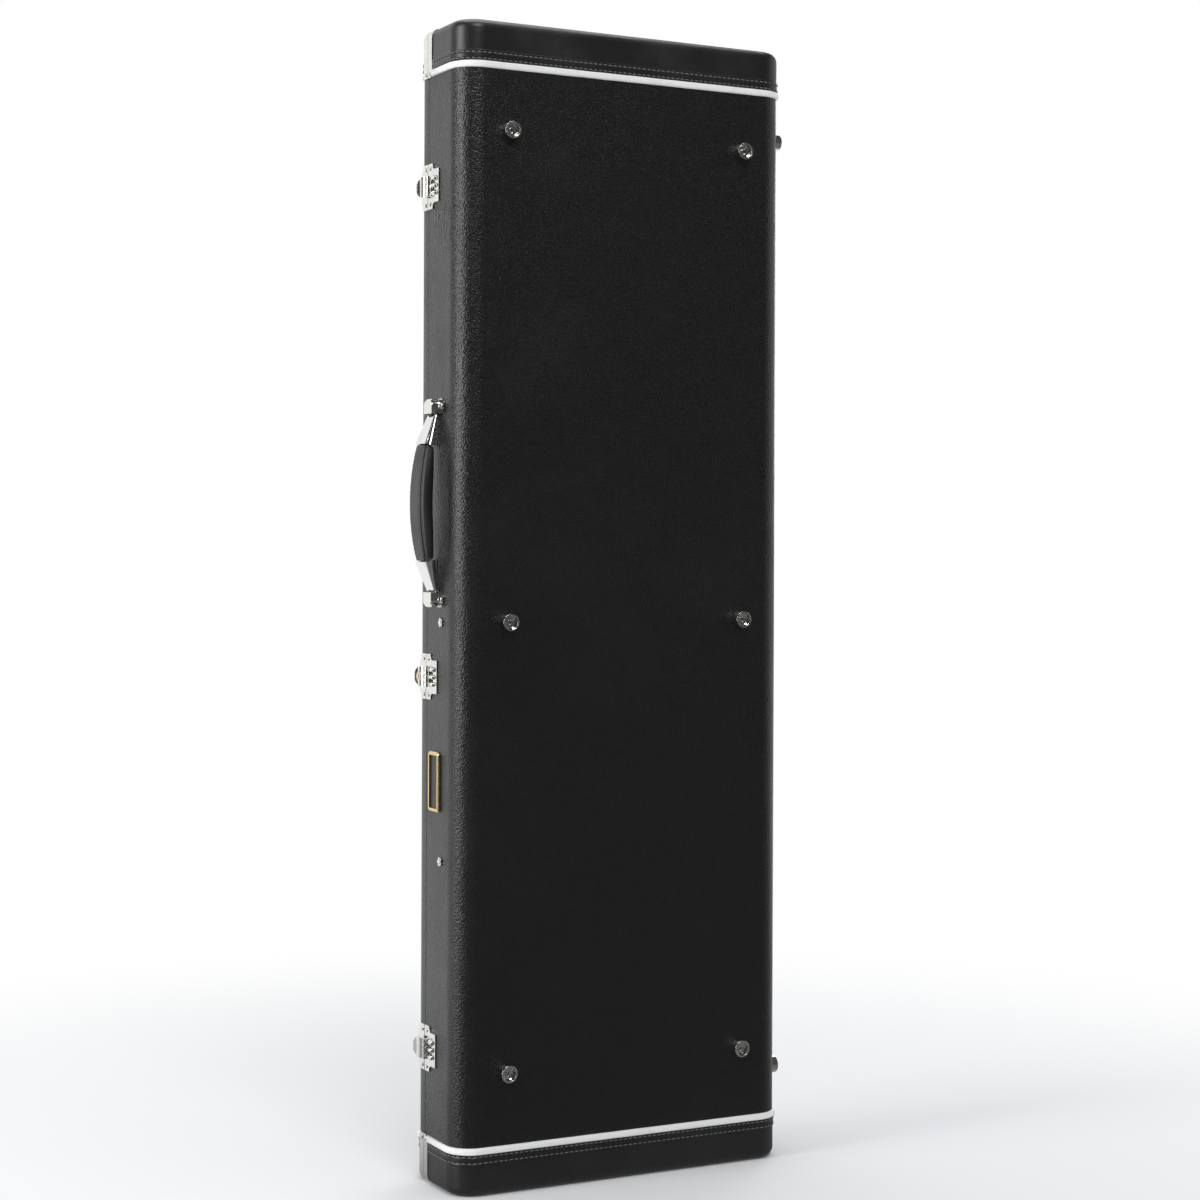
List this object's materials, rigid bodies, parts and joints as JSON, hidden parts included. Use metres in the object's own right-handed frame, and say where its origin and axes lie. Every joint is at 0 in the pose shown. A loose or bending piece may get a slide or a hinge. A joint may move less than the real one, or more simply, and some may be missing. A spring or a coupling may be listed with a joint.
{
  "type": "bass guitar case",
  "caption": "Hard rectangular bass guitar case with leather ends, white piping, domed latches, a hinged lid, a carrying handle, metal feet and a fitted plush interior.",
  "frame": {"origin": "middle of the end face that the case stands on", "axes": "+Z along the case's length from the headstock end to the body end, -Y out of the bottom panel, -X out of the latch side"},
  "size_m": [0.4278, 0.1278, 1.22],
  "materials": {
    "wood": "plain plywood",
    "vinyl": "black pebbled covering with a soft sheen",
    "leather": "black smooth leather",
    "piping": "white piping",
    "plush": "dark grey plush",
    "foam": "plush-covered foam",
    "nickel": "bright nickel plate",
    "steel": "plain steel",
    "brass": "gold-coloured frame",
    "black": "bare black enamel"
  },
  "bodies": {
    "base": {"base_shell": "wood", "base_cover": "vinyl", "base_piping": "piping", "base_cap_low": "leather", "base_cap_high": "leather", "base_lining": "plush", "base_valance": "plush", "body_cradle": "foam", "body_cushion": "foam", "neck_rest_low": "plush", "neck_rest_high": "plush", "neck_pads": "foam", "headstock_pad": "foam", "compartment_wall": "plush", "compartment_batten": "plush", "compartment_hinge_fixed": "brass", "compartment_hinge_pin": "steel", "base_hinge_leaves": "nickel", "hinge_pins": "steel", "latch_plate_high": "nickel", "latch_plate_mid": "nickel", "latch_plate_low": "nickel", "latch_pins": "steel", "corner_guards_base": "nickel", "base_rivets": "nickel", "handle_bracket_high": "nickel", "handle_bracket_low": "nickel", "handle_studs": "steel", "handle_screws": "nickel", "panel_feet": "nickel", "spine_feet": "nickel", "foot_screws": "nickel", "rosettes": "nickel", "nameplate_frame": "brass", "nameplate_inset": "black"},
    "lid": {"lid_shell": "wood", "lid_cover": "vinyl", "lid_piping": "piping", "lid_cap_low": "leather", "lid_cap_high": "leather", "lid_lining": "plush", "lid_pad": "foam", "lid_hinge_leaves": "nickel", "latch_striker_high": "nickel", "latch_striker_mid": "nickel", "latch_striker_low": "nickel", "corner_guards_lid": "nickel", "lid_rivets": "nickel"},
    "compartment_lid": {"compartment_lid": "plush", "compartment_hinge_moving": "brass", "compartment_tab": "leather"},
    "latch_high": {"latch_flap_high": "nickel"},
    "latch_mid": {"latch_flap_mid": "nickel", "lock_barrel": "nickel"},
    "latch_low": {"latch_flap_low": "nickel"},
    "lock_plug": {"lock_plug": "brass"},
    "handle": {"handle_strap": "steel", "handle_grip": "leather", "handle_ferrules": "nickel"}
  },
  "joints": [
    {"name": "lid_hinge", "type": "hinge", "parent": "base", "child": "lid", "pos_m": [0.1996, 0.0235, 0.61], "axis": [0, 0, -1], "range_deg": [0, 105]},
    {"name": "compartment_hinge", "type": "hinge", "parent": "base", "child": "compartment_lid", "pos_m": [0.1792, -0.016, 0.4675], "axis": [0, 0, -1], "range_deg": [0, 90]},
    {"name": "latch_high_hinge", "type": "hinge", "parent": "base", "child": "latch_high", "pos_m": [-0.2005, 0.0155, 1.053], "axis": [0, 0, 1], "range_deg": [0, 115]},
    {"name": "latch_mid_hinge", "type": "hinge", "parent": "base", "child": "latch_mid", "pos_m": [-0.2005, 0.0155, 0.5355], "axis": [0, 0, 1], "range_deg": [0, 115]},
    {"name": "latch_low_hinge", "type": "hinge", "parent": "base", "child": "latch_low", "pos_m": [-0.2005, 0.0155, 0.143], "axis": [0, 0, 1], "range_deg": [0, 115]},
    {"name": "lock_turn", "type": "hinge", "parent": "latch_mid", "child": "lock_plug", "pos_m": [-0.2033, 0.027, 0.5355], "axis": [-1, 0, 0], "range_deg": [0, 90]},
    {"name": "handle_lift", "type": "slide", "parent": "base", "child": "handle", "axis": [-1, 0, 0], "range_m": [0, 0.004]}
  ]
}
